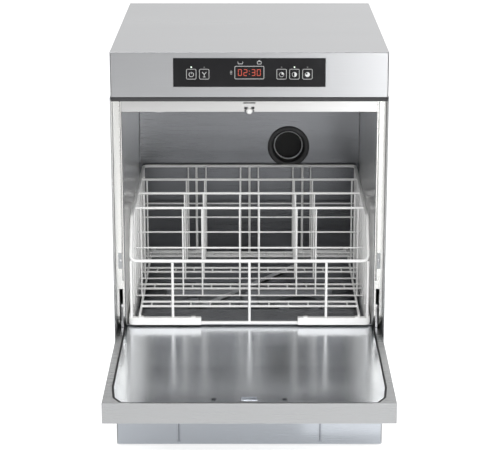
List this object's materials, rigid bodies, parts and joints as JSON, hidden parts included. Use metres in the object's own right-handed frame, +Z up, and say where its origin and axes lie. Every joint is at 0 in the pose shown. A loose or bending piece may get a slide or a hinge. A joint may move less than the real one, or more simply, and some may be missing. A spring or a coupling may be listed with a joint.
{
  "type": "glass washer machine",
  "caption": "Undercounter glass washer with a drop-down door lying open, a wire glass basket in its wash chamber, spray arms above and below, and touch keys on the front.",
  "frame": {"origin": "on the floor, under the middle of the box that the machine and its open door fill", "axes": "+Z up, +Y into the machine from its front, +X to the right of someone facing the front"},
  "size_m": [0.44, 0.7934, 0.663],
  "materials": {
    "brushed_steel": "brushed",
    "polished_steel": "bright",
    "chamber_steel": "satin",
    "frame_steel": "dull galvanised",
    "black_glass": "glossy",
    "key_print": "glossy",
    "black_rubber": "matte",
    "white_coating": "smooth dip coating on steel wire",
    "white_plastic": "satin",
    "grey_plastic": "matte",
    "black_plastic": "matte",
    "blue_plastic": "matte",
    "circuit_board": "matte"
  },
  "bodies": {
    "cabinet": {"base_frame": "frame_steel", "basket_rails": "polished_steel", "boiler": "polished_steel", "cable_gland": "black_plastic", "chamber_header": "polished_steel", "chamber_liner": "chamber_steel", "control_board": "circuit_board", "control_glass": "black_glass", "delivery_pipe": "black_rubber", "display_window": "black_glass", "door_top_seal": "black_rubber", "dosing_pump": "blue_plastic", "drain_pump": "black_plastic", "filter_plate": "chamber_steel", "foot_front_left": "black_plastic", "foot_front_right": "black_plastic", "foot_rear_left": "black_plastic", "foot_rear_right": "black_plastic", "front_fascia": "brushed_steel", "hinge_pin_left": "frame_steel", "hinge_pin_right": "frame_steel", "inlet_valve": "blue_plastic", "jamb_left": "polished_steel", "jamb_right": "polished_steel", "lower_hub": "grey_plastic", "overflow_pipe": "grey_plastic", "plinth_front": "brushed_steel", "rear_panel": "frame_steel", "side_panel_left": "brushed_steel", "side_panel_right": "brushed_steel", "strainer_basket": "grey_plastic", "tank": "chamber_steel", "tank_heater": "polished_steel", "top_cover": "brushed_steel", "upper_hub": "grey_plastic", "vent_port": "black_plastic", "wash_pump": "grey_plastic"},
    "door": {"door_outer_panel": "brushed_steel", "door_inner_panel": "polished_steel", "door_seal": "black_rubber", "hinge_lug_left": "frame_steel", "hinge_lug_right": "frame_steel"},
    "basket": {"basket_base": "white_coating", "basket_divider_1": "white_coating", "basket_divider_2": "white_coating", "basket_divider_3": "white_coating", "basket_front": "white_coating", "basket_rear": "white_coating", "basket_side_left": "white_coating", "basket_side_right": "white_coating"},
    "latch_ball": {"latch_ball": "white_plastic"},
    "lower_wash_arm": {"lower_wash_arm": "grey_plastic"},
    "lower_rinse_arm": {"lower_rinse_arm": "polished_steel"},
    "upper_wash_arm": {"upper_wash_arm": "grey_plastic"},
    "upper_rinse_arm": {"upper_rinse_arm": "polished_steel"},
    "key_cycle_long": {"key_cycle_long": "key_print"},
    "key_cycle_medium": {"key_cycle_medium": "key_print"},
    "key_cycle_short": {"key_cycle_short": "key_print"},
    "key_power": {"key_power": "key_print"},
    "key_rinse": {"key_rinse": "key_print"}
  },
  "joints": [
    {"name": "door_hinge", "type": "hinge", "parent": "cabinet", "child": "door", "pos_m": [0, -0.0393, 0.224], "axis": [-1, 0, 0], "range_deg": [0, 90]},
    {"name": "basket_slide", "type": "slide", "parent": "cabinet", "child": "basket", "axis": [0, 1, 0], "range_m": [-0.3, 0]},
    {"name": "latch_press", "type": "slide", "parent": "cabinet", "child": "latch_ball", "axis": [0, 0, 1], "range_m": [0, 0.002], "stiffness_N_per_m": 400, "springref_m": -0.001},
    {"name": "lower_wash_spin", "type": "hinge", "parent": "cabinet", "child": "lower_wash_arm", "pos_m": [0, 0.1897, 0.175], "axis": [0, 0, 1], "continuous": true},
    {"name": "lower_rinse_spin", "type": "hinge", "parent": "cabinet", "child": "lower_rinse_arm", "pos_m": [0, 0.1897, 0.185], "axis": [0, 0, 1], "continuous": true},
    {"name": "upper_wash_spin", "type": "hinge", "parent": "cabinet", "child": "upper_wash_arm", "pos_m": [0, 0.1487, 0.539], "axis": [0, 0, 1], "continuous": true},
    {"name": "upper_rinse_spin", "type": "hinge", "parent": "cabinet", "child": "upper_rinse_arm", "pos_m": [0, 0.1487, 0.527], "axis": [0, 0, 1], "continuous": true},
    {"name": "key_cycle_long_press", "type": "slide", "parent": "cabinet", "child": "key_cycle_long", "axis": [0, 1, 0], "range_m": [0, 0.0008], "stiffness_N_per_m": 800},
    {"name": "key_cycle_medium_press", "type": "slide", "parent": "cabinet", "child": "key_cycle_medium", "axis": [0, 1, 0], "range_m": [0, 0.0008], "stiffness_N_per_m": 800},
    {"name": "key_cycle_short_press", "type": "slide", "parent": "cabinet", "child": "key_cycle_short", "axis": [0, 1, 0], "range_m": [0, 0.0008], "stiffness_N_per_m": 800},
    {"name": "key_power_press", "type": "slide", "parent": "cabinet", "child": "key_power", "axis": [0, 1, 0], "range_m": [0, 0.0008], "stiffness_N_per_m": 800},
    {"name": "key_rinse_press", "type": "slide", "parent": "cabinet", "child": "key_rinse", "axis": [0, 1, 0], "range_m": [0, 0.0008], "stiffness_N_per_m": 800}
  ]
}
